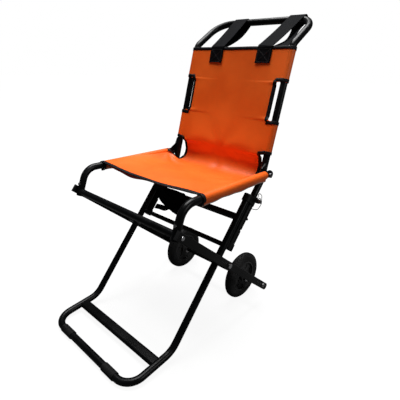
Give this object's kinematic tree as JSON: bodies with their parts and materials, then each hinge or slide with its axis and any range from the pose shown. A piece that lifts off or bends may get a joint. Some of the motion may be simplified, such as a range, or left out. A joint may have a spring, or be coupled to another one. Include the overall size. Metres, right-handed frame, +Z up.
{
  "type": "stair chair",
  "caption": "Folding tubular carry chair with a fabric sling seat and back, footrest, push bar with hand straps and rear wheels, for moving a seated patient along stairs.",
  "frame": {"origin": "on the floor, under the middle of the chair's overall box", "axes": "+X to the sitter's left hand side, +Y to the rear, +Z up"},
  "size_m": [0.4498, 0.7426, 0.875],
  "materials": {
    "frame_tube": "semi-gloss black powder coat",
    "socket_black": "satin black",
    "grip_rubber": "matt",
    "dark_steel": "dark",
    "bright_steel": "bright zinc",
    "webbing": "woven polyester",
    "black_plastic": "moulded",
    "orange_fabric": "coated, satin",
    "tyre": "matt rubber",
    "rim_plastic": "moulded",
    "bush_plastic": "plain"
  },
  "bodies": {
    "legs": {"leg_frame": "frame_tube", "footrest_step": "frame_tube", "upper_cross_bar": "frame_tube", "lower_cross_bar": "frame_tube", "footrest_grips": "grip_rubber", "leg_guide_left": "socket_black", "leg_guide_right": "socket_black", "socket_tube_left": "socket_black", "socket_tube_right": "socket_black", "socket_clamp_left": "socket_black", "socket_clamp_right": "socket_black", "socket_studs": "dark_steel", "cross_spacers": "bright_steel", "cross_bolts": "bright_steel", "cross_nuts": "bright_steel", "lock_housing_left": "dark_steel", "lock_housing_right": "dark_steel", "lock_springs": "bright_steel", "restraint_strap": "webbing", "restraint_buckle": "black_plastic"},
    "back": {"back_frame": "frame_tube", "gusset_left": "frame_tube", "gusset_right": "frame_tube", "seat_pivot_bolts": "bright_steel", "seat_pivot_washers": "bright_steel", "back_sling": "orange_fabric", "carry_strap_left": "webbing", "carry_strap_right": "webbing"},
    "seat": {"seat_tube_left": "frame_tube", "seat_tube_right": "frame_tube", "front_cross_tube": "frame_tube", "front_tube_plugs": "bright_steel", "front_pivot_pins": "bright_steel", "seat_rivets": "bright_steel", "seat_tube_caps": "black_plastic", "seat_sling": "orange_fabric"},
    "rails": {"rail_left": "frame_tube", "rail_right": "frame_tube", "rail_front_caps": "black_plastic", "rail_rear_caps": "black_plastic", "cross_washers": "bright_steel", "front_pivot_caps": "socket_black", "wheel_axle": "frame_tube", "axle_plugs": "black_plastic", "axle_bolts": "bright_steel", "axle_collars": "bright_steel"},
    "wheel_left": {"tyre_left": "tyre", "rim_left": "rim_plastic", "wheel_bush_left": "bush_plastic"},
    "wheel_right": {"tyre_right": "tyre", "rim_right": "rim_plastic", "wheel_bush_right": "bush_plastic"},
    "pin_left": {"lock_pin_left": "bright_steel", "pull_ring_left": "bright_steel", "lock_lanyard_left": "bright_steel"},
    "pin_right": {"lock_pin_right": "bright_steel", "pull_ring_right": "bright_steel", "lock_lanyard_right": "bright_steel"}
  },
  "joints": [
    {"name": "back_slide", "type": "slide", "parent": "legs", "child": "back", "axis": [0, 0.6414, 0.7672], "range_m": [0, 0.1]},
    {"name": "seat_hinge", "type": "hinge", "parent": "back", "child": "seat", "pos_m": [0, 0.14001, 0.44651], "axis": [1, 0, 0], "range_deg": [0, 2.83]},
    {"name": "rail_hinge", "type": "hinge", "parent": "legs", "child": "rails", "pos_m": [0, -0.04171, 0.23414], "axis": [1, 0, 0], "range_deg": [-22.29, 0]},
    {"name": "wheel_spin_left", "type": "hinge", "parent": "rails", "child": "wheel_left", "pos_m": [0.137, 0.14716, 0.079], "axis": [1, 0, 0], "continuous": true},
    {"name": "wheel_spin_right", "type": "hinge", "parent": "rails", "child": "wheel_right", "pos_m": [-0.137, 0.14716, 0.079], "axis": [1, 0, 0], "continuous": true},
    {"name": "lock_pin_left", "type": "slide", "parent": "legs", "child": "pin_left", "axis": [1, 0, 0], "range_m": [0, 0.006], "stiffness_N_per_m": 600, "springref_m": -0.008},
    {"name": "lock_pin_right", "type": "slide", "parent": "legs", "child": "pin_right", "axis": [-1, 0, 0], "range_m": [0, 0.006], "stiffness_N_per_m": 600, "springref_m": -0.008}
  ],
  "couplings": [
    {"joint": "seat_hinge", "follows": "back_slide", "rad_per_m": 0.47691},
    {"joint": "rail_hinge", "follows": "back_slide", "rad_per_m": -3.8734}
  ]
}
